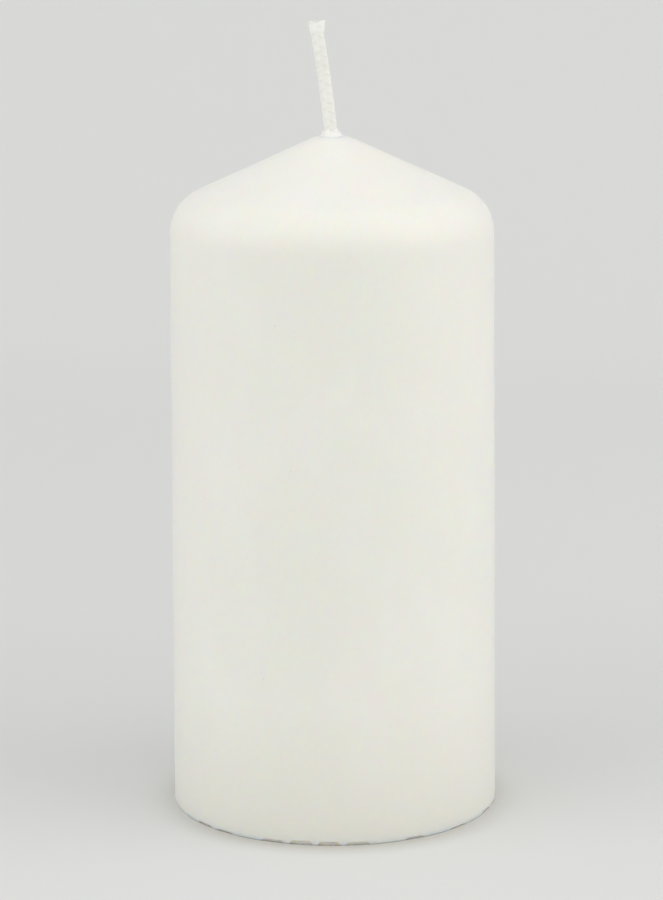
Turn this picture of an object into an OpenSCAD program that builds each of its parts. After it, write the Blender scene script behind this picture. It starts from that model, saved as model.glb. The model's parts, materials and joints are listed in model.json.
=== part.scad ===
// Pillar candle of the kind lit as a unity candle: a cast wax core under a dip coat, with a
// plaited wick that stands on a steel sustainer. +Z is up and the origin is the centre of the foot.

/* [Wax body] */
// Diameter over the coat at the foot
base_d = 71; // [60:0.5:80]
// Draft of the side, which lets the cast wax leave its mould
draft = 0.4; // [0.2:0.1:1]
// Height of the wax from the foot to the rounded tip
wax_h = 146.5; // [120:0.5:160]
// Slope of the cone above the horizontal
cone_angle = 24.6; // [15:0.1:35]
// Radius of the shoulder between the side and the cone
shoulder_r = 9.5; // [6:0.5:14]
// Radius of the tip, where the wick comes out
tip_r = 12; // [8:0.5:14]

/* [Dip coat] */
// Thickness of the harder outer wax
coat_t = 1.2; // [0.8:0.1:2]
// Radius at the outer edge of the foot
foot_r = 1.5; // [1.5:0.1:2]
// Number of scallops around the foot
scallops = 36; // [24:1:40]
// Height of each scallop above the foot
scallop_h = 0.8; // [0.5:0.1:0.9]
// Width of the point left between two scallops
scallop_point_w = 0.5; // [0.3:0.1:1]
// Depth of each scallop, inwards from the side
scallop_depth = 2.4; // [1.8:0.1:2.6]

/* [Underside] */
// Diameter of the shallow dish under the core
dish_d = 52; // [40:1:56]
// Depth of the dish
dish_h = 0.6; // [0.4:0.1:0.8]

/* [Wick] */
// Width of the flat plait, along X
wick_w = 2.7; // [2.2:0.1:3.2]
// Thickness of the plait, along Y
wick_t = 1.8; // [1.4:0.1:2]
// Height of the point where the wick bends, above the tip of the wax
bend_rise = 2.4; // [2.2:0.1:3.5]
// Lean of the free end just above the bend
lean_low = 7; // [2:0.5:12]
// Lean half way up the free end
lean_mid = 9.5; // [6:0.5:14]
// Lean at the cut end
lean_end = 2; // [0:0.5:6]

/* [Sustainer] */
// Diameter of the steel plate
plate_d = 20; // [16:1:26]
// Thickness of the steel
steel_t = 0.3; // [0.2:0.05:0.4]
// Height of the crimped neck above the plate
neck_h = 5; // [3:0.5:7]

/* [Hidden] */
$fn = 96;

base_r = base_d / 2;
side_normal = [cos(draft), sin(draft)];
cone_normal = [sin(cone_angle), cos(cone_angle)];

// The tip's centre is on the axis, and the cone's own lines meet above it at apex_z.
tip_z = wax_h - tip_r;
apex_z = tip_z + tip_r / cos(cone_angle);

// Distances of the side line and the cone line from the origin, less the shoulder's radius.
side_gap = base_r * cos(draft) - shoulder_r;
cone_gap = apex_z * cos(cone_angle) - shoulder_r;
shoulder_c = [
    (side_gap * cos(cone_angle) - cone_gap * sin(draft)) / cos(cone_angle + draft),
    (cone_gap * cos(draft) - side_gap * sin(cone_angle)) / cos(cone_angle + draft)
];
foot_c = [(base_r * cos(draft) - foot_r * (1 + sin(draft))) / cos(draft), foot_r];

core_foot_r = base_r - 4;
core_chamfer_h = 2;
function side_r(z, inset) = base_r - z * tan(draft) - inset / cos(draft);

// A scallop is a shallow arch between two points that reach the foot.
scallop_span = PI * base_d / scallops - scallop_point_w;
scallop_arc_r = (pow(scallop_span / 2, 2) + pow(scallop_h, 2)) / (2 * scallop_h);

bend_z = wax_h + bend_rise;
heel_r = wick_t / 2 - 0.1;
stub_top_z = bend_z - wick_t / 2 - 0.2;
collar_d = 4.8;
collar_top_d = 3.6;
collar_h = 0.95;
neck_wall = 0.3;
wick_foot_z = dish_h - steel_t;

wax_colour = [0.93, 0.92, 0.86];
core_colour = [0.95, 0.94, 0.90];
cotton_colour = [0.94, 0.93, 0.88];
steel_colour = [0.72, 0.73, 0.75];

// Everything of the profile that lies on the body's side of the axis.
module right_half() {
    intersection() {
        union() children();
        square([2 * base_d, 2 * wax_h]);
    }
}

// The cone, shoulder and tip that the coat and the core share, set in by inset.
module upper_profile(inset, low_z) {
    shoulder_arc = shoulder_r - inset;
    tip_arc = tip_r - inset;
    right_half() {
        polygon([
            [0, low_z],
            [side_r(low_z, inset), low_z],
            shoulder_c + shoulder_arc * side_normal,
            shoulder_c + shoulder_arc * cone_normal,
            [0, tip_z] + tip_arc * cone_normal,
            [0, tip_z]
        ]);
        translate(shoulder_c) circle(shoulder_arc);
        translate([0, tip_z]) circle(tip_arc);
    }
}

module outer_wax() {
    rotate_extrude() {
        upper_profile(0, foot_r);
        polygon([
            [0, 0],
            [foot_c.x, 0],
            foot_c + foot_r * side_normal,
            [side_r(foot_r + 1, 0), foot_r + 1],
            [0, foot_r + 1]
        ]);
        translate(foot_c) circle(foot_r);
    }
}

module core_wax() {
    rotate_extrude() {
        upper_profile(coat_t, core_chamfer_h);
        polygon([
            [0, 0],
            [core_foot_r, 0],
            [side_r(core_chamfer_h, coat_t), core_chamfer_h],
            [0, core_chamfer_h]
        ]);
    }
}

// The plait's cross-section: flat faces to the front and back, round edges to the sides.
module wick_section() {
    square([wick_w - wick_t, wick_t], center = true);
    for (side = [-1, 1])
        translate([side * (wick_w - wick_t) / 2, 0]) circle(d = wick_t);
}

module all_scallops() {
    for (i = [0 : scallops - 1])
        rotate(i * 360 / scallops)
            translate([base_r - scallop_depth, 0, scallop_h - scallop_arc_r])
                rotate([0, 90, 0]) cylinder(r = scallop_arc_r, h = 2 * scallop_depth);
}

module wax_core() {
    color(core_colour)
        difference() {
            core_wax();
            translate([0, 0, -1]) cylinder(d = dish_d, h = 1 + dish_h);
            sustainer_blank();
            linear_extrude(wax_h) wick_section();
        }
}

module dip_coat() {
    color(wax_colour)
        difference() {
            outer_wax();
            core_wax();
            all_scallops();
            linear_extrude(2 * wax_h) wick_section();
        }
}

// The bead of wax that the dip leaves where the wick comes out of the tip.
module wick_collar() {
    color(wax_colour)
        difference() {
            rotate_extrude() difference() {
                polygon([
                    [0, wax_h - 1],
                    [collar_d / 2 + 0.4, wax_h - 1],
                    [collar_top_d / 2, wax_h + collar_h],
                    [0, wax_h + collar_h]
                ]);
                translate([0, tip_z]) circle(tip_r);
            }
            linear_extrude(2 * wax_h) wick_section();
        }
}

// The sustainer with its bore filled: a thin plate and a neck that narrows to the crimp.
module sustainer_blank() {
    neck_r = wick_w / 2 + neck_wall;
    rotate_extrude()
        polygon([
            [0, wick_foot_z],
            [plate_d / 2, wick_foot_z],
            [plate_d / 2, dish_h],
            [neck_r + 1, dish_h],
            [neck_r + 0.4, dish_h + 0.8],
            [neck_r, dish_h + neck_h],
            [0, dish_h + neck_h]
        ]);
}

module wick_sustainer() {
    color(steel_colour)
        difference() {
            sustainer_blank();
            linear_extrude(4 * neck_h, center = true) wick_section();
        }
}

// The stretch that the wax holds, up to just under the bend.
module wick() {
    color(cotton_colour)
        translate([0, 0, wick_foot_z]) linear_extrude(stub_top_z - wick_foot_z) wick_section();
}

// The free end follows a long S. Distances along it are from the bend, upwards.
free_len = 21.2;
free_step = free_len / 20;
function lean(along) =
    lookup(along, [[0, lean_low], [9, lean_mid], [15.5, lean_mid], [20, lean_end]]);
function across(along) = [cos(lean(along)), sin(lean(along))];
function upwards(along) = [-sin(lean(along)), cos(lean(along))];
function centre(along) =
    along < free_step / 2 ? [0, 0]
    : centre(along - free_step) + free_step * upwards(along - free_step / 2);

// The plait spreads over its last stretch, where it was cut.
function half_width(along) =
    wick_w / 2 + lookup(along, [[0, 0], [free_len - 3, 0], [free_len - 0.5, 0.33]]);

// The front outline, with two lobes at the cut and a notch between them.
module free_outline() {
    stations = [for (i = [0 : 20]) i * free_step];
    polygon(concat(
        [for (s = stations) centre(s) + half_width(s) * across(s)],
        [
            centre(free_len) + half_width(free_len) * across(free_len) + [0.05, 0.5],
            centre(free_len) + [0.1, -0.05],
            centre(free_len) - half_width(free_len) * across(free_len) + [-0.05, 0.25]
        ],
        [for (i = [20 : -1 : 0]) centre(stations[i]) - half_width(stations[i]) * across(stations[i])]
    ));
}

// The free end folds about X at the bend, on a round heel.
module wick_end() {
    color(cotton_colour)
        translate([0, 0, bend_z]) {
            rotate([0, 90, 0]) cylinder(r = heel_r, h = wick_w - 0.2, center = true);
            rotate([90, 0, 0]) linear_extrude(wick_t, center = true) free_outline();
        }
}

wax_core();
dip_coat();
wick_collar();
wick_sustainer();
wick();
wick_end();
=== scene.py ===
"""Looks of a pillar candle: dipped ivory wax, a bead at the tip and a plaited, primed wick."""

import json
import math
import random

import bpy
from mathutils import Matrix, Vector, noise

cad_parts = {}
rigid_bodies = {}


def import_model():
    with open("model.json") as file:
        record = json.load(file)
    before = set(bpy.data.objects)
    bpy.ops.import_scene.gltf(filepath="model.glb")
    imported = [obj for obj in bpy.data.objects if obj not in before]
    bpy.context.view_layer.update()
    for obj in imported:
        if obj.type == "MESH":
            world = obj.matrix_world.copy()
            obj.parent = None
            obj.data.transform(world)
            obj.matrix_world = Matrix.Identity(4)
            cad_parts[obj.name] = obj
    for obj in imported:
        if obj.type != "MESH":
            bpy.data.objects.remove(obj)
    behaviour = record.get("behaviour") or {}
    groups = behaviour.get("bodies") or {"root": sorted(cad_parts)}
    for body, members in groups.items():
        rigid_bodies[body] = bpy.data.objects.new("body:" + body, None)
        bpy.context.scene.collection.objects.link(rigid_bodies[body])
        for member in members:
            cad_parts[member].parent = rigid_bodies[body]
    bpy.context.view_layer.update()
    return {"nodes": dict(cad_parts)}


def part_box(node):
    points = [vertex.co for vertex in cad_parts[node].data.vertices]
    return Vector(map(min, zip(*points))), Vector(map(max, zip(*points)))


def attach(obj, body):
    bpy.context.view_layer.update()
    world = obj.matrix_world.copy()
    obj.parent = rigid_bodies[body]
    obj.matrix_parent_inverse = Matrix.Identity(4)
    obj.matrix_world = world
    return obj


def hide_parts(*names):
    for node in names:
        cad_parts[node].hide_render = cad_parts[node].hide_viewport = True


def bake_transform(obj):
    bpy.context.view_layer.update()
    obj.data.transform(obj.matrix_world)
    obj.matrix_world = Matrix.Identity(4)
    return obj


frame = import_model()

MM = 0.001

# ---- Candle sizes, in millimetres, that the turned wax is worked out from ----
FOOT_RADIUS = 1000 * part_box("dip_coat")[1].x
WAX_HEIGHT = 1000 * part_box("dip_coat")[1].z
DRAFT = math.radians(0.4)
CONE_SLOPE = math.radians(24.6)
SHOULDER_RADIUS = 9.5
TIP_RADIUS = 12.0
FOOT_EDGE_RADIUS = 0.2
EDGE_STEPS = 5
SCALLOPS = 36
SCALLOP_START = 2.0
SCALLOP_HEIGHT = 0.9
SCALLOP_DEPTH = 0.32
CORE_FOOT_RADIUS = FOOT_RADIUS - 4.0
POCKET_HEIGHT = 2.5

# ---- Wick sizes, in millimetres ----
WICK_FOOT = 1000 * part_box("wick")[0].z
WICK_TOP = 1000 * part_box("wick_end")[1].z
WICK_WIDTH = 2.65
WICK_THICKNESS = 1.6
BEND_HEIGHT = 148.9
PLAIT_START = 143.0
LOBE_HEIGHT = WICK_TOP + 0.25
CUT_NOTCH = 0.42
CUT_SLANT = 0.28
HEAD_FOOT = WICK_TOP - 2.4
HEAD_DIP = (WICK_TOP - 2.6, WICK_TOP - 2.0)


# ---------------------------------------------------------------- node trees
class Graph:
    """Adds nodes to one tree and joins them."""

    def __init__(self, tree):
        self.tree = tree

    def feed(self, node, socket, value):
        target = node.inputs[socket]
        if isinstance(value, bpy.types.NodeSocket):
            self.tree.links.new(value, target)
        else:
            target.default_value = value

    def node(self, kind, values=None, **settings):
        made = self.tree.nodes.new(kind)
        for name, value in settings.items():
            setattr(made, name, value)
        for socket, value in (values or {}).items():
            self.feed(made, socket, value)
        return made

    def maths(self, operation, *values, clamp=False):
        made = self.node("ShaderNodeMath", operation=operation, use_clamp=clamp)
        for place, value in enumerate(values):
            self.feed(made, place, value)
        return made.outputs[0]

    def sum(self, *values):
        total = values[0]
        for value in values[1:]:
            total = self.maths("ADD", total, value)
        return total

    def product(self, *values):
        total = values[0]
        for value in values[1:]:
            total = self.maths("MULTIPLY", total, value)
        return total

    def vector_maths(self, operation, *values):
        made = self.node("ShaderNodeVectorMath", operation=operation)
        for place, value in enumerate(values):
            self.feed(made, place, value)
        return made.outputs[0]

    def scaled(self, vector, factor):
        made = self.node("ShaderNodeVectorMath", {0: vector}, operation="SCALE")
        self.feed(made, "Scale", factor)
        return made.outputs[0]

    def ramp(self, value, low, high, to_low=0.0, to_high=1.0, smooth=True):
        made = self.node(
            "ShaderNodeMapRange",
            {"Value": value, "From Min": low, "From Max": high, "To Min": to_low, "To Max": to_high},
            interpolation_type="SMOOTHSTEP" if smooth else "LINEAR",
        )
        return made.outputs[0]


class Finish(Graph):
    """A material with one Principled shader, and the patterns that the candle's finishes share."""

    def __init__(self, name, constants):
        self.material = bpy.data.materials.new(name)
        self.material.use_nodes = True
        super().__init__(self.material.node_tree)
        self.tree.nodes.clear()
        self.shader = self.node("ShaderNodeBsdfPrincipled", constants)
        self.node("ShaderNodeOutputMaterial", {"Surface": self.shader.outputs[0]})
        self.place = self.node("ShaderNodeTexCoord").outputs["Object"]
        self.normal = None

    def attribute(self, name):
        return self.node("ShaderNodeAttribute", attribute_name=name).outputs["Fac"]

    def coordinate(self, axis):
        return self.node("ShaderNodeSeparateXYZ", {0: self.place}).outputs[axis]

    def stretched(self, x, y, z):
        return self.vector_maths("MULTIPLY", self.place, (x, y, z))

    def cloud(self, scale, detail, rough=0.5, place=None):
        made = self.node(
            "ShaderNodeTexNoise",
            {"Vector": place or self.place, "Scale": scale, "Detail": detail, "Roughness": rough},
        )
        return made.outputs[0]

    def pits(self, scale, size, share):
        """Round spots of that size, in that share of the cells of a random net."""
        made = self.node("ShaderNodeTexVoronoi", {"Vector": self.place, "Scale": scale})
        spot = self.ramp(made.outputs["Distance"], size, 0.4 * size)
        split = self.node("ShaderNodeSeparateColor", {0: made.outputs["Color"]})
        return self.product(spot, self.maths("LESS_THAN", split.outputs[0], share))

    def from_axis(self):
        """Distance from the candle's axis."""
        x = self.coordinate("X")
        y = self.coordinate("Y")
        return self.maths("SQRT", self.sum(self.product(x, x), self.product(y, y)))

    def mixed(self, first, second, share):
        made = self.node("ShaderNodeMix", {0: share}, data_type="RGBA")
        self.feed(made, 6, first)
        self.feed(made, 7, second)
        return made.outputs[2]

    def raised(self, height, depth_mm):
        """Adds a bump of that depth on top of the earlier ones."""
        made = self.node(
            "ShaderNodeBump", {"Height": height, "Distance": depth_mm * MM, "Strength": 1.0}
        )
        if self.normal is not None:
            self.feed(made, "Normal", self.normal)
        self.normal = made.outputs[0]

    def done(self, colour, roughness):
        self.feed(self.shader, "Base Color", colour)
        self.feed(self.shader, "Roughness", roughness)
        if self.normal is not None:
            self.feed(self.shader, "Normal", self.normal)
        return self.material


def rgb(red, green, blue):
    return (red, green, blue, 1.0)


# ---------------------------------------------------------------- finishes
def translucent_wax(name, scatter_mm):
    """A finish for solid wax, in which light spreads that far, red light the furthest."""
    return Finish(
        name,
        {
            "Subsurface Weight": 1.0,
            "Subsurface Scale": scatter_mm * MM,
            "Subsurface Radius": (1.0, 0.72, 0.42),
            "IOR": 1.43,
        },
    )


def dip_wax_finish():
    """Hard ivory wax: satin, translucent, a little cloudy, with pinholes and faint runs of the dip, and
    painted shade towards the foot and in the lip's recesses.
    """
    wax = translucent_wax("dip wax", 2.2)
    broad = wax.cloud(24.0, 2.0)
    patches = wax.cloud(75.0, 3.0, place=wax.stretched(1.0, 1.0, 0.6))
    runs = wax.cloud(210.0, 2.0, place=wax.stretched(1.0, 1.0, 0.1))
    peel = wax.cloud(900.0, 3.0)
    pinholes = wax.pits(330.0, 0.09, 0.16)
    painted_recess_shade = wax.attribute("painted_recess_shade")
    height = wax.coordinate("Z")

    ivory = wax.mixed(rgb(0.885, 0.885, 0.820), rgb(0.900, 0.885, 0.825), wax.ramp(broad, 0.35, 0.65))
    clouded = wax.mixed(ivory, rgb(0.915, 0.912, 0.868), wax.ramp(patches, 0.45, 0.75, 0.0, 0.45))
    pricked = wax.mixed(clouded, rgb(0.800, 0.770, 0.660), wax.product(pinholes, 0.5))
    # Painted shade: the wax darker towards the foot, fading out over the lowest 30 mm.
    with_painted_foot_shade = wax.mixed(rgb(0.822, 0.812, 0.752), pricked, wax.ramp(height, 0.0, 30 * MM, smooth=False))
    # Painted shade: a warm brown in the recesses under the lip's arches.
    colour = wax.mixed(with_painted_foot_shade, rgb(0.920, 0.790, 0.640), wax.product(painted_recess_shade, 0.9))

    wax.raised(broad, 0.25)
    wax.raised(runs, 0.03)
    wax.raised(peel, 0.012)
    wax.raised(pinholes, -0.06)
    sheen = wax.sum(wax.ramp(patches, 0.3, 0.7, 0.33, 0.43), wax.product(peel, 0.08))
    return wax.done(colour, sheen)


def cast_wax_finish():
    """The core's underside: paler, duller wax with the flow of the pour and a scraped rim."""
    wax = translucent_wax("cast core wax", 2.5)
    broad = wax.cloud(60.0, 3.0)
    crystals = wax.cloud(520.0, 5.0, 0.65)
    scrape = wax.cloud(150.0, 3.0, place=wax.stretched(1.0, 9.0, 1.0))
    bubbles = wax.pits(240.0, 0.16, 0.22)
    flat = wax.mixed(rgb(0.900, 0.895, 0.835), rgb(0.860, 0.845, 0.760), wax.ramp(broad, 0.3, 0.7))
    frosted = wax.mixed(flat, rgb(0.945, 0.945, 0.915), wax.ramp(crystals, 0.5, 0.75, 0.0, 0.7))
    colour = wax.mixed(frosted, rgb(0.720, 0.680, 0.560), wax.product(bubbles, 0.6))
    wax.raised(scrape, 0.08)
    wax.raised(crystals, 0.03)
    wax.raised(bubbles, -0.15)
    return wax.done(colour, wax.ramp(crystals, 0.3, 0.7, 0.45, 0.65))


def tinplate_finish():
    """Rolled tinplate with a pressed ring: brushed one way, lightly scratched, with dull wax smears."""
    tin = Finish("stamped tinplate", {"Metallic": 1.0, "IOR": 2.5})
    brushed = tin.cloud(260.0, 4.0, place=tin.stretched(0.08, 3.0, 1.0))
    smear = tin.ramp(tin.cloud(190.0, 4.0), 0.52, 0.66)
    scratches = tin.ramp(tin.cloud(700.0, 2.0, place=tin.stretched(4.0, 0.3, 1.0)), 0.66, 0.70)
    radius = tin.from_axis()
    ring_radius = 6.6 * MM
    from_ring = tin.maths("ABSOLUTE", tin.maths("SUBTRACT", radius, ring_radius))
    ring = tin.ramp(from_ring, 0.7 * MM, 0.15 * MM)
    rim = tin.ramp(radius, 9.2 * MM, 9.8 * MM)
    metal = tin.mixed(rgb(0.60, 0.61, 0.62), rgb(0.78, 0.79, 0.80), brushed)
    scored = tin.mixed(metal, rgb(0.88, 0.88, 0.88), tin.product(scratches, 0.6))
    colour = tin.mixed(scored, rgb(0.66, 0.64, 0.58), tin.product(smear, 0.6))
    tin.raised(ring, 0.25)
    tin.raised(rim, 0.15)
    tin.raised(brushed, 0.01)
    tin.raised(scratches, -0.02)
    return tin.done(colour, tin.sum(tin.ramp(brushed, 0.2, 0.8, 0.24, 0.36), tin.product(smear, 0.25)))


def primed_cotton_finish():
    """Bleached cotton yarn soaked in wax: the plies twist round each yarn."""
    cotton = Finish("primed cotton", {"IOR": 1.45, "Sheen Weight": 0.15, "Sheen Roughness": 0.5})
    ply_pitch = 1.1 * MM
    turn = cotton.product(cotton.attribute("along"), 2 * math.pi / ply_pitch)
    risen = cotton.product(cotton.maths("SINE", turn), cotton.attribute("around_cos"))
    sunk = cotton.product(cotton.maths("COSINE", turn), cotton.attribute("around_sin"))
    ply = cotton.maths("ABSOLUTE", cotton.sum(risen, sunk))
    tint = cotton.attribute("yarn_tint")
    fibre = cotton.cloud(5200.0, 3.0)
    soaked = cotton.ramp(cotton.cloud(900.0, 2.0), 0.4, 0.65)

    dry = cotton.mixed(rgb(0.900, 0.895, 0.850), rgb(0.935, 0.935, 0.905), tint)
    # Painted shade in the furrows between the plies.
    shaded = cotton.mixed(rgb(0.800, 0.785, 0.700), dry, cotton.ramp(ply, 0.0, 0.45, 0.7, 1.0))
    colour = cotton.mixed(shaded, rgb(0.905, 0.900, 0.840), cotton.product(soaked, 0.55))
    cotton.raised(ply, 0.035)
    cotton.raised(fibre, 0.02)
    return cotton.done(colour, cotton.ramp(soaked, 0.0, 1.0, 0.66, 0.42))


def film_wax_finish(name, deep, pale):
    """Wax in a thin film: it fills the plait's furrows, whitens its head, and stands as a bead round it."""
    film = Finish(name, {"IOR": 1.43})
    patches = film.cloud(420.0, 3.0)
    grain = film.cloud(2600.0, 2.0)
    flecked = film.mixed(deep, pale, film.ramp(patches, 0.35, 0.65))
    dipped = film.product(film.attribute("dipped_head"), 0.8)
    colour = film.mixed(flecked, rgb(0.950, 0.950, 0.920), dipped)
    film.raised(patches, 0.05)
    film.raised(grain, 0.015)
    return film.done(colour, film.ramp(grain, 0.3, 0.7, 0.42, 0.58))


def pale_floor_finish():
    """Matt pale board under and behind the candle, with painted light that makes it lighter towards the
    back, and a painted contact shadow, darker and warmer, close round the foot.
    """
    board = Finish("pale studio board", {"IOR": 1.4, "Specular IOR Level": 0.2})
    grain = board.cloud(900.0, 3.0)
    broad = board.cloud(3.0, 2.0)
    depth = board.coordinate("Y")
    near = board.mixed(rgb(0.735, 0.742, 0.735), rgb(0.755, 0.760, 0.752), board.ramp(broad, 0.3, 0.7))
    # Painted light: the board lighter towards the back, in place of a back light.
    painted_back_light_tone = board.mixed(near, rgb(0.815, 0.822, 0.812), board.ramp(depth, 0.10, 0.55, smooth=False))
    # Painted contact shadow: darker and warmer within 8.5 mm of the foot, weaker at the sides than in front.
    away = board.from_axis()
    close_by = board.ramp(away, (FOOT_RADIUS + 8.5) * MM, FOOT_RADIUS * MM, smooth=False)
    rise = board.ramp(away, FOOT_RADIUS * MM, (FOOT_RADIUS + 0.9) * MM, 0.6)
    frontal = board.ramp(depth, -12 * MM, -34 * MM, 0.45)
    painted_contact_shadow = board.product(close_by, close_by, rise, frontal)
    colour = board.mixed(painted_back_light_tone, rgb(0.555, 0.545, 0.495), painted_contact_shadow)
    board.raised(grain, 0.02)
    return board.done(colour, board.ramp(grain, 0.3, 0.7, 0.75, 0.9))


# ---------------------------------------------------------------- meshes
def mesh_object(name, points_mm, faces, material):
    mesh = bpy.data.meshes.new(name)
    mesh.from_pydata([Vector(p) * MM for p in points_mm], [], faces)
    mesh.materials.append(material)
    for face in mesh.polygons:
        face.use_smooth = True
    mesh.validate()
    return linked(name, mesh)


def linked(name, data):
    """A new object of that data, in the scene."""
    made = bpy.data.objects.new(name, data)
    bpy.context.scene.collection.objects.link(made)
    return made


def point_attribute(piece, name, values):
    piece.data.attributes.new(name, "FLOAT", "POINT").data.foreach_set("value", values)


def turned_faces(rows, columns):
    """Quads between neighbouring rows of a turned surface, whose columns go round."""
    faces = []
    for row in range(rows - 1):
        for column in range(columns):
            following = (column + 1) % columns
            faces.append(
                (
                    row * columns + column,
                    row * columns + following,
                    (row + 1) * columns + following,
                    (row + 1) * columns + column,
                )
            )
    return faces


def smoothstep(value, low, high):
    share = min(max((value - low) / (high - low), 0.0), 1.0)
    return share * share * (3 - 2 * share)


def blend_table(value, table):
    """Reads a table of (place, value) pairs, with straight lines between them."""
    for (low, first), (high, second) in zip(table, table[1:]):
        if value <= high:
            share = min(max((value - low) / (high - low), 0.0), 1.0)
            return first + (second - first) * share
    return table[-1][1]


# ---------------------------------------------------------------- turned wax
def upper_outline():
    """Radius and height of the wax from the tip down to the foot's edge, as arcs and straights."""
    tip_centre = WAX_HEIGHT - TIP_RADIUS
    apex = tip_centre + TIP_RADIUS / math.cos(CONE_SLOPE)
    side_gap = FOOT_RADIUS * math.cos(DRAFT) - SHOULDER_RADIUS
    cone_gap = apex * math.cos(CONE_SLOPE) - SHOULDER_RADIUS
    between = math.cos(CONE_SLOPE + DRAFT)
    shoulder_x = (side_gap * math.cos(CONE_SLOPE) - cone_gap * math.sin(DRAFT)) / between
    shoulder_z = (cone_gap * math.cos(DRAFT) - side_gap * math.sin(CONE_SLOPE)) / between

    def arc(centre, radius, from_angle, to_angle, steps):
        for step in range(steps + 1):
            angle = from_angle + (to_angle - from_angle) * step / steps
            yield (centre[0] + radius * math.sin(angle), centre[1] + radius * math.cos(angle))

    def straight(first, last, steps):
        for step in range(1, steps):
            share = step / steps
            yield tuple(a + (b - a) * share for a, b in zip(first, last))

    side_angle = math.pi / 2 - DRAFT
    tip = list(arc((0, tip_centre), TIP_RADIUS, math.radians(0.4), CONE_SLOPE, 9))
    shoulder = list(arc((shoulder_x, shoulder_z), SHOULDER_RADIUS, CONE_SLOPE, side_angle, 22))
    edge_gap = FOOT_RADIUS * math.cos(DRAFT) - FOOT_EDGE_RADIUS * (1 + math.sin(DRAFT))
    edge_x = edge_gap / math.cos(DRAFT)
    edge = list(arc((edge_x, FOOT_EDGE_RADIUS), FOOT_EDGE_RADIUS, side_angle, math.pi, EDGE_STEPS))
    cone = list(straight(tip[-1], shoulder[0], 22))
    low_height = 3.0
    low = (FOOT_RADIUS - low_height * math.tan(DRAFT), low_height)
    side = list(straight(shoulder[-1], low, 46))
    brink = list(straight(low, edge[0], 8))
    return tip + cone + shoulder + side + [low] + brink + edge


# The arches at the front, by their number round the foot; the others are drawn at random.
FRONT_CROWNS = {
    30: 0.15, 31: 0.55, 32: 0.45, 33: 0.12, 34: 0.75, 35: 1.00,
    0: 1.00, 1: 0.80, 2: 0.10, 3: 0.65, 4: 0.12, 5: 0.25, 6: 0.10,
}


def lip_lift(azimuth):
    """How high the lip is lifted off the floor, from 0 at a point to 1 at the crown of an arch."""
    cell, part = divmod((azimuth + SCALLOP_START) * SCALLOPS / 360.0 + 0.5, 1.0)
    number = int(cell) % SCALLOPS
    draw = random.Random(number)
    crown = draw.choice((0.1, 0.5, 0.75, 1.0)) * draw.uniform(0.8, 1.0)
    crown = FRONT_CROWNS.get(number, crown)
    half = draw.uniform(0.40, 0.47)
    middle = draw.uniform(0.48, 0.53)
    off = abs(part - middle) / half
    return crown * smoothstep(1.0 - off, 0.0, 0.35)


def build_dip_coat(material):
    """The whole wax skin: cone, shoulder, side and a scalloped lip, closed by a pocket for the core."""
    columns = 720
    outline = upper_outline()
    first_edge = len(outline) - EDGE_STEPS
    inner = FOOT_RADIUS - SCALLOP_DEPTH
    # Insets of the rows across the top of an arch.
    roof = (0.24, 0.29)
    # Rows down the back of an arch: the row's number, and its share of the arch's height.
    wall = ((0, 0.85), (1, 0.4), (2, 0.0))
    # Radius and height of the rows across the foot's ring and up into the hollow for the core.
    pocket = (
        (CORE_FOOT_RADIUS + 0.3, 0.0),
        (CORE_FOOT_RADIUS, 0.0),
        (CORE_FOOT_RADIUS - 0.2, 1.0),
        (CORE_FOOT_RADIUS - 0.4, POCKET_HEIGHT),
        (0.4, POCKET_HEIGHT),
    )
    angles = [360.0 * column / columns - 180.0 for column in range(columns)]
    lifts = [SCALLOP_HEIGHT * lip_lift(azimuth) for azimuth in angles]
    points = []
    painted_recess_shade = []

    def add_row(make):
        for azimuth, lift in zip(angles, lifts):
            # The third value of a row is its share of painted recess shade.
            radius, height, depth = make(azimuth, lift)
            angle = math.radians(azimuth)
            points.append((radius * math.sin(angle), -radius * math.cos(angle), height))
            painted_recess_shade.append(depth)

    def hump(azimuth, radius, height):
        """Slow unevenness of the dip, a few hundredths of a millimetre high."""
        angle = math.radians(azimuth)
        spot = Vector((math.sin(angle) * 2.2, math.cos(angle) * 2.2, height / 26.0))
        return 0.06 * noise.noise(spot) * smoothstep(radius, 2.0, 12.0)

    def painted_recess_shade_share(lift):
        """Share of the painted warm recess shade that a lip lifted that far shows."""
        return smoothstep(lift, 0.05, 0.3)

    for place, (radius, height) in enumerate(outline):

        def outer(azimuth, lift, place=place, radius=radius, height=height):
            painted_shade_share = painted_recess_shade_share(lift) if place > first_edge else 0.0
            return radius + hump(azimuth, radius, height), max(height, lift), painted_shade_share

        add_row(outer)
    for inset in roof:
        add_row(lambda azimuth, lift, inset=inset: (FOOT_RADIUS - inset, lift, painted_recess_shade_share(lift)))
    for level, drop in wall:
        add_row(
            lambda azimuth, lift, level=level, drop=drop: (
                inner + level * (0.05 * lift - 0.01),
                lift * drop,
                painted_recess_shade_share(lift) * (1.0 - 0.3 * (1.0 - drop)),
            )
        )
    for radius, height in pocket:
        add_row(lambda azimuth, lift, radius=radius, height=height: (radius, height, 0.0))

    rows = len(points) // columns
    faces = [tuple(reversed(face)) for face in turned_faces(rows, columns)]
    faces.append(tuple(range(columns)))
    last = (rows - 1) * columns
    faces.append(tuple(last + column for column in reversed(range(columns))))
    coat = mesh_object("dipped_wax_body", points, faces, material)
    point_attribute(coat, "painted_recess_shade", painted_recess_shade)
    return coat


# ---------------------------------------------------------------- wick
# Lean of the free end in degrees, by height above the bend.
LEAN = [
    (-4.2, 0.0),
    (-3.2, 4.0),
    (-0.8, 6.6),
    (6.0, 7.0),
    (11.0, 8.0),
    (16.5, 9.3),
    (18.4, 8.8),
    (19.6, 3.0),
    (20.6, -1.5),
    (23.0, -2.0),
]

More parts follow.
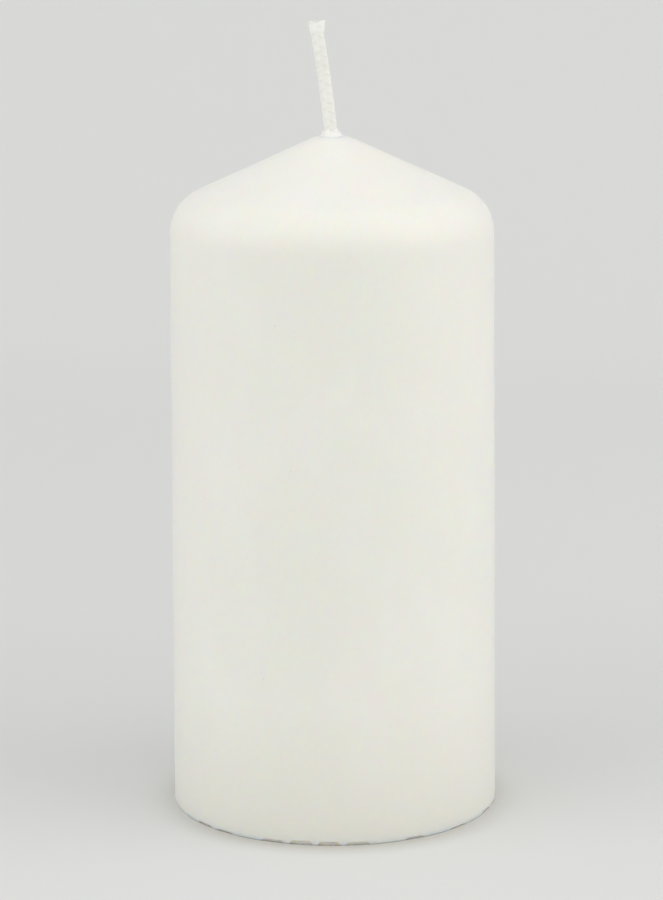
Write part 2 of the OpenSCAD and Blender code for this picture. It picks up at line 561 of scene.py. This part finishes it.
# Half the width and half the thickness of the waxed heart, by height.
HEART_WIDTH = [
    (1.0, 1.3),
    (146.0, 1.3),
    (150.0, 1.40),
    (158.0, 1.36),
    (167.7, 1.36),
    (168.2, 1.56),
    (170.7, 1.78),
]
HEART_DEPTH = [
    (1.0, 0.85),
    (145.0, 0.85),
    (148.0, 0.56),
    (167.6, 0.55),
    (168.4, 0.66),
    (170.7, 0.68),
]


def wick_path():
    """The wick's middle line: straight up through the wax, then a long S. Each spot is x, z and lean."""
    long_step, short_step, short_from = 4.0, 0.25, 138.0
    path = []
    x, z = 0.0, WICK_FOOT
    while z <= LOBE_HEIGHT:
        lean = math.radians(blend_table(z - BEND_HEIGHT, LEAN))
        path.append((x, z, lean))
        pace = short_step if z > short_from else long_step
        x -= pace * math.sin(lean)
        z += pace * math.cos(lean)
    return path


def cut_height(across):
    """Height of the cut end in millimetres: a shallow notch between two lobes, the right one taller."""
    notch = CUT_NOTCH * (1.0 - min(abs(across + 0.1) / 1.4, 1.0))
    return LOBE_HEIGHT - notch - CUT_SLANT * smoothstep(-across, -1.2, 1.2)


def swept_heart(path, material):
    """Waxed heart of the wick: a flat section with a slight groove, swept along the path and closed."""
    columns = 40
    path_end = WICK_TOP + 0.1
    path = [spot for spot in path if spot[1] < path_end]
    points = []
    dipped = []

    def add_ring(x, z, lean, share=1.0, sink=0.0):
        wide = share * blend_table(z, HEART_WIDTH)
        deep = share * blend_table(z, HEART_DEPTH)
        for column in range(columns):
            angle = 2 * math.pi * column / columns
            across = wide * math.copysign(abs(math.cos(angle)) ** 0.8, math.cos(angle))
            depth = deep * math.copysign(abs(math.sin(angle)) ** 0.7, math.sin(angle))
            depth *= 1.0 - 0.16 * math.exp(-((across / (0.3 * wide)) ** 2))
            height = z + across * math.sin(lean)
            if height > HEAD_FOOT:
                stretch = (cut_height(across) - HEAD_FOOT) / (path_end - HEAD_FOOT)
                height = HEAD_FOOT + (height - HEAD_FOOT) * stretch
            points.append((x + across * math.cos(lean), depth, height - sink))
            dipped.append(smoothstep(height - sink, *HEAD_DIP))

    for spot in path:
        add_ring(*spot)
    for share, sink in ((0.93, -0.04), (0.80, -0.02), (0.55, 0.06)):
        add_ring(*path[-1], share, sink)
    rows = len(points) // columns
    faces = turned_faces(rows, columns)
    faces.append(tuple(reversed(range(columns))))
    last = (rows - 1) * columns
    faces.append(tuple(last + column for column in range(columns)))
    heart = mesh_object("waxed heart", points, faces, material)
    point_attribute(heart, "dipped_head", dipped)
    return heart


def open_inputs(tree, sockets):
    """Gives a geometry tree its named inputs and its output."""
    face = tree.interface
    face.new_socket("Geometry", in_out="INPUT", socket_type="NodeSocketGeometry")
    for name, (kind, value) in sockets.items():
        made = face.new_socket(name, in_out="INPUT", socket_type=kind)
        if value is not None:
            made.default_value = value
    face.new_socket("Geometry", in_out="OUTPUT", socket_type="NodeSocketGeometry")


def stored(g, geometry, name, value):
    """Geometry with a named number at each of its points."""
    return g.node(
        "GeometryNodeStoreNamedAttribute",
        {"Geometry": geometry, "Name": name, "Value": value},
        data_type="FLOAT",
        domain="POINT",
    ).outputs[0]


def named(g, name):
    return g.node("GeometryNodeInputNamedAttribute", {"Name": name}, data_type="FLOAT").outputs[0]


def realized(g, geometry, finish):
    """Ends a tree: real meshes of one finish."""
    real = g.node("GeometryNodeRealizeInstances", {"Geometry": geometry}).outputs[0]
    finished = g.node("GeometryNodeSetMaterial", {"Geometry": real, "Material": finish}).outputs[0]
    g.node("NodeGroupOutput", {"Geometry": finished})


def plait_tree():
    """Lays bundles of yarn along a line as a flat plait, spreads them at the cut and gives them body."""
    tree = bpy.data.node_groups.new("flat plait", "GeometryNodeTree")
    length, count = "NodeSocketFloat", "NodeSocketInt"
    open_inputs(
        tree,
        {
            "Bundles": (count, 3),
            "Yarns": (count, 8),
            "Pitch": (length, 6.0 * MM),
            "Swing": (length, 0.84 * MM),
            "Lift": (length, 0.27 * MM),
            "Bundle Width": (length, 0.42 * MM),
            "Bundle Depth": (length, 0.175 * MM),
            "Yarn Radius": (length, 0.20 * MM),
            "Middle Girth": (length, 1.65),
            "Yarn Twist Pitch": (length, 9.0 * MM),
            "Spread": (length, 0.33),
            "Spread Length": (length, 2.4 * MM),
            "Notch": (length, CUT_NOTCH * MM),
            "Slant": (length, CUT_SLANT * MM),
            "Step": (length, 0.16 * MM),
            "Seed": (count, 4),
            "Finish": ("NodeSocketMaterial", None),
        },
    )
    g = Graph(tree)
    given = g.node("NodeGroupInput").outputs

    line = g.node("GeometryNodeMeshToCurve", {"Mesh": given["Geometry"]}).outputs[0]
    even = {"Curve": line, "Length": given["Step"]}
    line = g.node("GeometryNodeResampleCurve", even, mode="LENGTH").outputs[0]
    amount = g.maths("MULTIPLY", given["Bundles"], given["Yarns"])
    copies = g.node("GeometryNodeDuplicateElements", {"Geometry": line, "Amount": amount}, domain="SPLINE")
    index = copies.outputs["Duplicate Index"]
    bundle = g.maths("FLOOR", g.maths("DIVIDE", g.sum(index, 0.5), given["Yarns"]))
    yarn = g.maths("SUBTRACT", index, g.product(bundle, given["Yarns"]))

    gone = g.node("GeometryNodeSplineParameter").outputs["Length"]
    whole = g.node("GeometryNodeSplineLength").outputs["Length"]
    from_cut = g.maths("SUBTRACT", whole, gone)
    turn = g.sum(g.maths("DIVIDE", gone, given["Pitch"]), g.maths("DIVIDE", bundle, given["Bundles"]))
    phase = g.product(turn, 2 * math.pi)
    swing = g.product(g.maths("SINE", phase), given["Swing"])
    lift = g.product(g.maths("SINE", g.product(phase, 2.0)), given["Lift"])

    # The first yarn of a bundle is its middle; the others lie round it and twist slowly.
    outer = g.maths("GREATER_THAN", yarn, 0.5)
    share = g.maths("DIVIDE", yarn, g.maths("SUBTRACT", given["Yarns"], 1.0))
    twist = g.product(g.sum(share, g.maths("DIVIDE", gone, given["Yarn Twist Pitch"])), 2 * math.pi)
    side = g.product(outer, g.maths("COSINE", twist), given["Bundle Width"])
    rise = g.product(outer, g.maths("SINE", twist), given["Bundle Depth"])

    # Towards the cut the yarns open sideways and stray a little.
    opened = g.ramp(from_cut, given["Spread Length"], 0.2 * MM)
    stray_seed = g.sum(g.product(index, 7.31), given["Seed"])
    stray_place = g.node("ShaderNodeCombineXYZ", {0: g.product(gone, 420.0), 1: stray_seed}).outputs[0]
    stray = g.node("ShaderNodeTexNoise", {"Vector": stray_place, "Scale": 1.0, "Detail": 2.0}).outputs[1]
    stray = g.vector_maths("SUBTRACT", stray, (0.5, 0.5, 0.5))
    stray = g.scaled(stray, g.ramp(opened, 0.0, 1.0, 0.06 * MM, 0.30 * MM))
    across_by = g.product(g.sum(swing, side), g.sum(1.0, g.product(opened, given["Spread"])))
    depth_by = g.product(g.sum(lift, rise), g.sum(1.0, g.product(opened, 0.1)))

    tangent = g.node("GeometryNodeInputTangent").outputs[0]
    across = g.vector_maths("NORMALIZE", g.vector_maths("CROSS_PRODUCT", (0.0, 1.0, 0.0), tangent))
    offset = g.scaled(across, across_by)
    offset = g.vector_maths("ADD", offset, g.scaled((0.0, 1.0, 0.0), depth_by))
    offset = g.vector_maths("ADD", offset, stray)

    draw = g.node("FunctionNodeRandomValue", {"ID": index, "Seed": given["Seed"]}, data_type="FLOAT")
    yarns = copies.outputs["Geometry"]
    for name, value in (("along", gone), ("yarn_tint", draw.outputs[1]), ("sideways", across_by)):
        yarns = stored(g, yarns, name, value)
    laid = g.node("GeometryNodeSetPosition", {"Geometry": yarns, "Offset": offset}).outputs[0]
    girth = g.sum(given["Middle Girth"], g.product(outer, g.maths("SUBTRACT", 1.0, given["Middle Girth"])))
    laid = g.node("GeometryNodeSetCurveRadius", {0: laid, "Radius": girth}).outputs[0]

    # The cut is notched: the yarns at the two edges are the longest, and the right edge's most of all.
    sideways = named(g, "sideways")
    edge = g.maths("DIVIDE", g.maths("ABSOLUTE", sideways), 1.4 * MM, clamp=True)
    notch = g.product(given["Notch"], g.maths("SUBTRACT", 1.0, edge))
    uneven = g.product(named(g, "yarn_tint"), 0.12 * MM)
    slant = g.ramp(sideways, -1.2 * MM, 1.2 * MM, given["Slant"], 0.0)
    gone_past = g.maths("LESS_THAN", from_cut, g.sum(notch, uneven, slant))
    cut = g.node("GeometryNodeDeleteGeometry", {"Geometry": laid, "Selection": gone_past}, domain="POINT")

    circle = {"Resolution": 7, "Radius": given["Yarn Radius"]}
    ring = g.node("GeometryNodeCurvePrimitiveCircle", circle).outputs[0]
    bearing = g.product(g.node("GeometryNodeSplineParameter").outputs["Factor"], 2 * math.pi)
    for name, operation in (("around_cos", "COSINE"), ("around_sin", "SINE")):
        ring = stored(g, ring, name, g.maths(operation, bearing))
    sweep = {"Curve": cut.outputs[0], "Profile Curve": ring, "Fill Caps": True}
    body = g.node("GeometryNodeCurveToMesh", sweep).outputs[0]
    realized(g, g.node("GeometryNodeSetShadeSmooth", {"Geometry": body}).outputs[0], given["Finish"])
    return tree


def fuzz_tree():
    """Scatters short bent fibres over the yarns, thickest at the cut."""
    tree = bpy.data.node_groups.new("loose fibres", "GeometryNodeTree")
    length, count = "NodeSocketFloat", "NodeSocketInt"
    open_inputs(
        tree,
        {
            "Cut Height": (length, WICK_TOP * MM),
            "Dense": (length, 9.0e6),
            "Sparse": (length, 4.0e5),
            "Fibre Length": (length, 0.55 * MM),
            "Fibre Radius": (length, 0.009 * MM),
            "Seed": (count, 11),
            "Finish": ("NodeSocketMaterial", None),
        },
    )
    g = Graph(tree)
    given = g.node("NodeGroupInput").outputs
    height = g.node("ShaderNodeSeparateXYZ", {0: g.node("GeometryNodeInputPosition").outputs[0]}).outputs[2]
    below_cut = g.maths("SUBTRACT", given["Cut Height"], height)
    density = g.ramp(below_cut, 1.6 * MM, 0.2 * MM, given["Sparse"], given["Dense"])
    points = g.node(
        "GeometryNodeDistributePointsOnFaces",
        {"Mesh": given["Geometry"], "Density": density, "Seed": given["Seed"]},
    )
    fibre = g.node("GeometryNodeCurveQuadraticBezier", {"Resolution": 5, "Start": (0.0, 0.0, 0.0)})
    for socket, sideways, upwards in (("Middle", 0.0, 0.6), ("End", 0.45, 0.8)):
        reach = g.node("ShaderNodeCombineXYZ", {0: sideways, 2: upwards}).outputs[0]
        g.feed(fibre, socket, g.scaled(reach, given["Fibre Length"]))
    ring = g.node("GeometryNodeCurvePrimitiveCircle", {"Resolution": 3, "Radius": given["Fibre Radius"]})
    thread = g.node("GeometryNodeCurveToMesh", {"Curve": fibre.outputs[0], "Profile Curve": ring.outputs[0]})
    spin = g.node("FunctionNodeRandomValue", data_type="FLOAT_VECTOR")
    spin.inputs[0].default_value = (-0.9, -0.9, 0.0)
    spin.inputs[1].default_value = (0.9, 0.9, 2 * math.pi)
    g.feed(spin, "Seed", given["Seed"])
    turned = g.node(
        "FunctionNodeRotateRotation",
        {"Rotation": points.outputs["Rotation"], "Rotate By": spin.outputs[0]},
        rotation_space="LOCAL",
    )
    size = g.node("FunctionNodeRandomValue", {"Seed": given["Seed"]}, data_type="FLOAT")
    size.inputs[2].default_value = 0.35
    size.inputs[3].default_value = 1.0
    placed = g.node(
        "GeometryNodeInstanceOnPoints",
        {
            "Points": points.outputs["Points"],
            "Instance": thread.outputs[0],
            "Rotation": turned.outputs[0],
            "Scale": size.outputs[1],
        },
    )
    realized(g, placed.outputs[0], given["Finish"])
    return tree


def grown(name, base, tree, values):
    """Runs a geometry tree on base and returns its result as a plain mesh object."""
    modifier = base.modifiers.new(tree.name, "NODES")
    modifier.node_group = tree
    sockets = {item.name: item.identifier for item in tree.interface.items_tree if item.in_out == "INPUT"}
    for label, value in values.items():
        modifier[sockets[label]] = value
    depsgraph = bpy.context.evaluated_depsgraph_get()
    mesh = bpy.data.meshes.new_from_object(base.evaluated_get(depsgraph), depsgraph=depsgraph)
    base.modifiers.remove(modifier)
    mesh.name = name
    return linked(name, mesh)


def joined(name, *objects):
    """One object of several meshes."""
    for o in bpy.context.view_layer.objects:
        o.select_set(o in objects)
    bpy.context.view_layer.objects.active = objects[0]
    bpy.ops.object.join()
    objects[0].name = name
    objects[0].data.name = name
    return objects[0]


def build_wick(cotton, wax):
    """The plait from inside the tip to the cut, on a waxed heart that runs down to the foot."""
    path = wick_path()
    shown = [(x * MM, 0.0, z * MM) for x, z, lean in path if z > PLAIT_START]
    line = bpy.data.meshes.new("wick line")
    line.from_pydata(shown, [(i, i + 1) for i in range(len(shown) - 1)], [])
    guide = linked("wick line", line)
    plait = grown("plait", guide, plait_tree(), {"Finish": cotton})
    bpy.data.objects.remove(guide)
    heart = swept_heart(path, wax)
    fuzz = grown("wick_fuzz", plait, fuzz_tree(), {"Finish": cotton})
    return joined("plaited_wick", plait, heart), fuzz


def build_tip_bead(material):
    """The ragged bead of wax round the wick: a film that climbs it, a crest, and a skirt on the cone."""
    columns = 220
    tip_centre = WAX_HEIGHT - TIP_RADIUS

    def cone_height(radius):
        if radius < TIP_RADIUS * math.sin(CONE_SLOPE):
            return tip_centre + math.sqrt(TIP_RADIUS**2 - radius**2)
        return tip_centre + TIP_RADIUS / math.cos(CONE_SLOPE) - radius * math.tan(CONE_SLOPE)

    def wick_radius(angle):
        wide, deep = WICK_WIDTH / 2, WICK_THICKNESS / 2
        return 1 / math.hypot(math.cos(angle) / wide, math.sin(angle) / deep)

    def ragged(angle, roughness, layer):
        spot = Vector((math.cos(angle) * roughness, math.sin(angle) * roughness, layer))
        return noise.noise(spot)

    def rounded(loop):
        """Cuts every corner of a closed loop of points."""
        cut = []
        for first, second in zip(loop, loop[1:] + loop[:1]):
            for share in (0.25, 0.75):
                cut.append(tuple(a + (b - a) * share for a, b in zip(first, second)))
        return cut

    rows = [[] for _ in range(44)]
    for column in range(columns):
        angle = 2 * math.pi * column / columns
        inner = wick_radius(angle) - 0.25
        outer = 2.15 + 0.30 * ragged(angle, 1.6, 3.0) + 0.14 * ragged(angle, 4.5, 7.0)
        crest = 0.62 + 0.30 * ragged(angle, 2.2, 11.0) + 0.16 * ragged(angle, 4.8, 5.0)
        leftward = smoothstep(-math.cos(angle), 0.2, 1.0)
        crest += 0.30 * leftward
        rightward = smoothstep(math.cos(angle), 0.3, 1.0)
        climb = crest + 0.22 + 0.50 * rightward + 0.12 * ragged(angle, 5.0, 2.0)
        gap = outer - inner
        shape = [
            (inner - 0.2, -2.0),
            (outer + 0.9, -1.2),
            (outer + 0.75, -0.06),
            (outer + 0.30, 0.04),
            (outer + 0.05, 0.22 * crest),
            (outer - 0.12, 0.60 * crest),
            (outer - 0.30, 0.90 * crest),
            (outer - 0.42 * gap, crest),
            (inner + 0.42, 0.80 * crest),
            (inner + 0.30, 0.95 * climb),
            (inner, 1.02 * climb),
        ]
        for row, (radius, rise) in enumerate(rounded(rounded(shape))):
            height = cone_height(radius) + rise
            rows[row].append((radius * math.cos(angle), radius * math.sin(angle), height))
    points = [point for row in rows for point in row]
    faces = turned_faces(len(rows), columns)
    last = (len(rows) - 1) * columns
    for column in range(columns):
        following = (column + 1) % columns
        faces.append((last + column, last + following, following, column))
    return mesh_object("wick_bead", points, faces, material)


# ---------------------------------------------------------------- studio
def add_camera():
    """A long lens in front of the candle, a little above it and tilted down."""
    distance = 0.650
    height = 0.2149
    aside = 0.34 * MM
    pitch = math.radians(11.9)
    roll = math.radians(0.3)
    data = bpy.data.cameras.new("camera")
    data.lens = 122.4
    data.sensor_width = 36.0
    data.clip_start = 0.01
    camera = linked("camera", data)
    camera.location = (aside, -distance, height)
    camera.rotation_euler = (math.pi / 2 - pitch, roll, 0.0)
    bpy.context.scene.camera = camera


def add_softbox(name, azimuth, elevation, distance, size, watts, colour):
    """A square soft light that faces the candle. Azimuth is from the front, to the right."""
    light = bpy.data.lights.new(name, "AREA")
    light.shape = "SQUARE"
    light.size = size
    light.energy = watts
    light.color = colour
    box = linked(name, light)
    turn = math.radians(azimuth)
    rise = math.radians(elevation)
    towards = Vector((math.sin(turn) * math.cos(rise), -math.cos(turn) * math.cos(rise), math.sin(rise)))
    candle_middle = Vector((0.0, 0.0, 0.07))
    box.location = candle_middle + towards * distance
    box.rotation_euler = towards.to_track_quat("Z", "Y").to_euler()


def add_board(material):
    """The floor, swept up behind the candle. Its sizes are in millimetres."""
    front, start, radius, wide, top = -1600, 450, 600, 1600, 2200
    steps = 24
    outline = [(front, 0), (start, 0)]
    for step in range(1, steps + 1):
        angle = math.pi / 2 * step / steps
        outline.append((start + radius * math.sin(angle), radius * (1 - math.cos(angle))))
    outline.append((start + radius, top))
    points = []
    faces = []
    for y, z in outline:
        points.extend([(-wide, y, z), (wide, y, z)])
    for row in range(len(outline) - 1):
        faces.append((2 * row, 2 * row + 1, 2 * row + 3, 2 * row + 2))
    mesh_object("studio_board", points, faces, material)


def set_up_studio():
    add_camera()
    add_board(pale_floor_finish())
    add_softbox("left softbox", -62, 35, 0.8, 0.7, 1.10, (1.0, 1.0, 1.0))
    add_softbox("right softbox", 68, 35, 0.8, 0.7, 1.50, (1.0, 0.985, 0.965))
    add_softbox("front fill", 0, 50, 0.9, 0.5, 0.20, (1.0, 1.0, 1.0))
    scene = bpy.context.scene
    world = bpy.data.worlds.new("studio air")
    scene.world = world
    world.use_nodes = True
    air = Graph(world.node_tree)
    world.node_tree.nodes.clear()
    glow = air.node("ShaderNodeBackground", {"Color": rgb(1.0, 1.0, 0.995), "Strength": 0.775})
    air.node("ShaderNodeOutputWorld", {"Surface": glow.outputs[0]})
    scene.view_settings.view_transform = "Standard"
    scene.view_settings.look = "None"


# ---------------------------------------------------------------- the candle
set_up_studio()

body_wax = dip_wax_finish()
bead_wax = film_wax_finish("bead wax", rgb(0.888, 0.884, 0.842), rgb(0.915, 0.910, 0.875))
primer = film_wax_finish("priming wax", rgb(0.865, 0.868, 0.815), rgb(0.905, 0.905, 0.862))
cotton_yarn = primed_cotton_finish()

wax_body = build_dip_coat(body_wax)
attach(wax_body, "candle")
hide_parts("dip_coat")

bead = build_tip_bead(bead_wax)
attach(bead, "candle")
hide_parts("wick_collar")

wick, fuzz = build_wick(cotton_yarn, primer)
for piece in (wick, fuzz):
    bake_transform(piece)
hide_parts("wick", "wick_end")

for node, finish in (("wax_core", cast_wax_finish()), ("wick_sustainer", tinplate_finish())):
    frame["nodes"][node].data.materials[0] = finish
